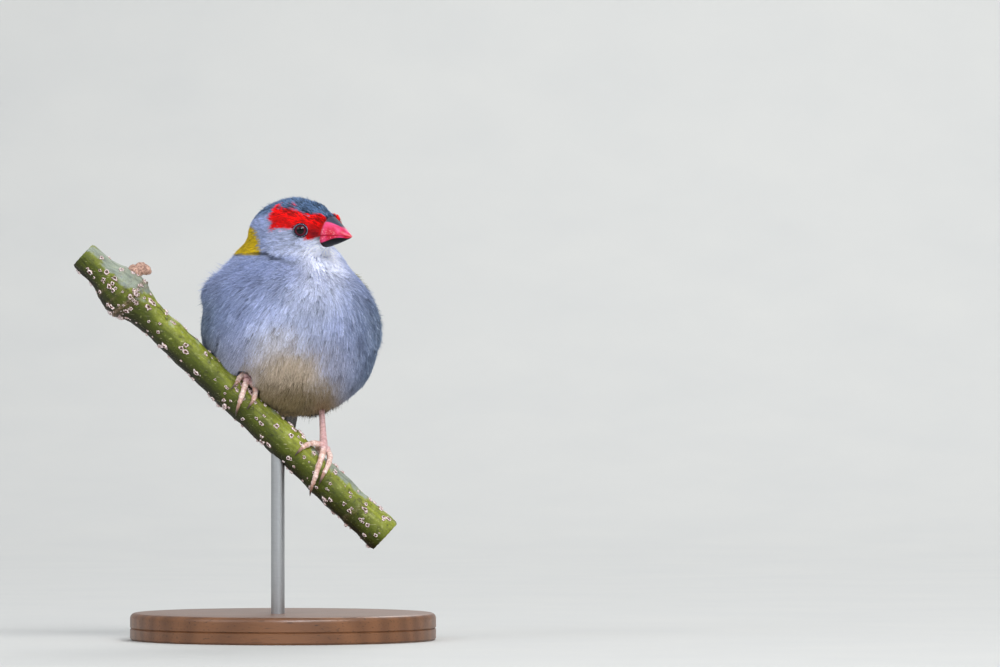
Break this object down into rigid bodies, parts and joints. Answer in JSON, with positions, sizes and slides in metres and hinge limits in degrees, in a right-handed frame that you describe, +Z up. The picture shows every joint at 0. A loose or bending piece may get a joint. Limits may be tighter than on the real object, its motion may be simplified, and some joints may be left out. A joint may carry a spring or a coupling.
{
  "type": "finch figure",
  "caption": "Small round songbird, head turned to its left, gripping a sloping cut branch on a rod with a flat round base.",
  "frame": {"origin": "middle of the round base's underside, on the surface that it stands on", "axes": "+Z up; -Y is the side that the belly faces; the branch slopes down towards +X; the tail runs back and down towards +Y"},
  "size_m": [0.1063, 0.1143, 0.1299],
  "materials": {
    "grey_feathers": "soft",
    "pale_throat": "soft",
    "crown_feathers": "soft",
    "olive_feathers": "soft",
    "dusky_tail": "soft",
    "red_upper_bill": "satin",
    "dark_lower_bill": "satin",
    "dark_red_eye": "glossy",
    "flesh_pink_leg": "satin",
    "claw_horn": "satin",
    "mossy_bark": "rough",
    "oiled_wood": "satin",
    "steel_rod": "brushed"
  },
  "bodies": {
    "root": {"torso": "grey_feathers", "neck": "pale_throat", "head": "crown_feathers", "wing_left": "olive_feathers", "wing_right": "olive_feathers", "tail": "dusky_tail", "bill_upper": "red_upper_bill", "bill_lower": "dark_lower_bill", "eye_left": "dark_red_eye", "eye_right": "dark_red_eye", "leg_left": "flesh_pink_leg", "leg_right": "flesh_pink_leg", "foot_left": "flesh_pink_leg", "foot_right": "flesh_pink_leg", "claw_left_inner": "claw_horn", "claw_left_middle": "claw_horn", "claw_left_outer": "claw_horn", "claw_left_back": "claw_horn", "claw_right_inner": "claw_horn", "claw_right_middle": "claw_horn", "claw_right_outer": "claw_horn", "claw_right_back": "claw_horn", "perch": "mossy_bark", "stand_base": "oiled_wood", "stand_rod": "steel_rod"}
  },
  "joints": []
}
